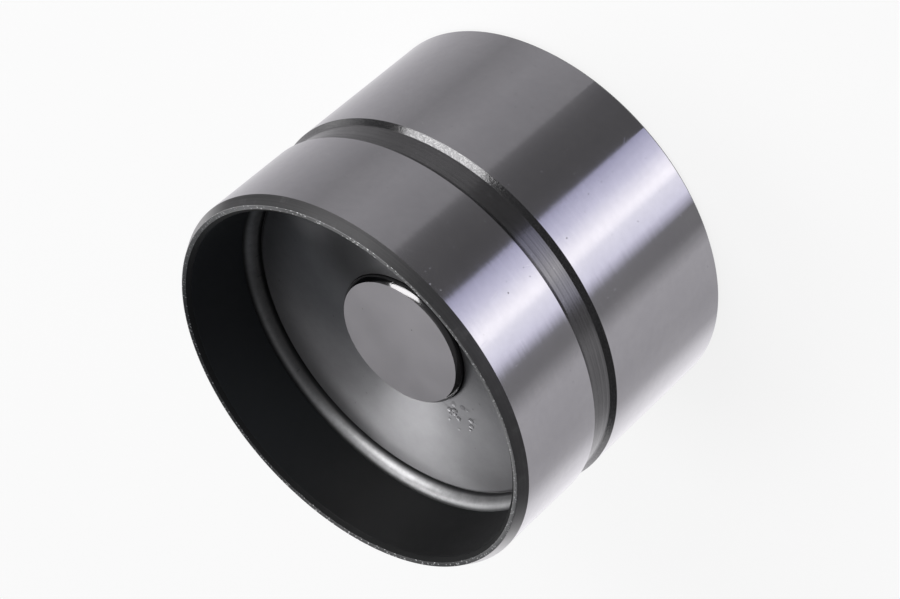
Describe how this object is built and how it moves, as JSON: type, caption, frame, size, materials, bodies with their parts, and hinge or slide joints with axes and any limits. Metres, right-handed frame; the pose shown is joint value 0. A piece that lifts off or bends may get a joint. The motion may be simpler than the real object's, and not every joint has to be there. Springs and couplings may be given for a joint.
{
  "type": "hydraulic valve lifter",
  "caption": "Hydraulic bucket lifter: ground steel cup with an oil groove, a pressed-in guide funnel and a sprung inner housing that takes up valve lash between cam and valve stem.",
  "frame": {"origin": "centre of the cam face, on the outside of the crown", "axes": "+Z along the bucket's axis, from the cam face to the open mouth; +X along the oil slot in the crown"},
  "size_m": [0.035, 0.035, 0.026],
  "materials": {
    "ground_steel": "ground satin",
    "drawn_sheet_steel": "satin",
    "housing_steel": "fine satin",
    "piston_steel": "ground",
    "ball_steel": "polished",
    "spring_wire": "drawn wire",
    "cage_sheet": "stamped satin"
  },
  "bodies": {
    "bucket": {"bucket_shell": "ground_steel", "guide_funnel": "drawn_sheet_steel", "piston": "piston_steel", "ball_cage": "cage_sheet", "check_ball_spring": "spring_wire", "return_spring": "spring_wire"},
    "inner_element": {"inner_housing": "housing_steel"},
    "ball": {"check_ball": "ball_steel"}
  },
  "joints": [
    {"name": "lash_slide", "type": "slide", "parent": "bucket", "child": "inner_element", "axis": [0, 0, -1], "range_m": [0, 0.002], "stiffness_N_per_m": 6000, "deforming": ["return_spring"]},
    {"name": "ball_lift", "type": "slide", "parent": "bucket", "child": "ball", "axis": [0, 0, 1], "range_m": [0, 0.0003], "stiffness_N_per_m": 200, "deforming": ["check_ball_spring"]}
  ]
}
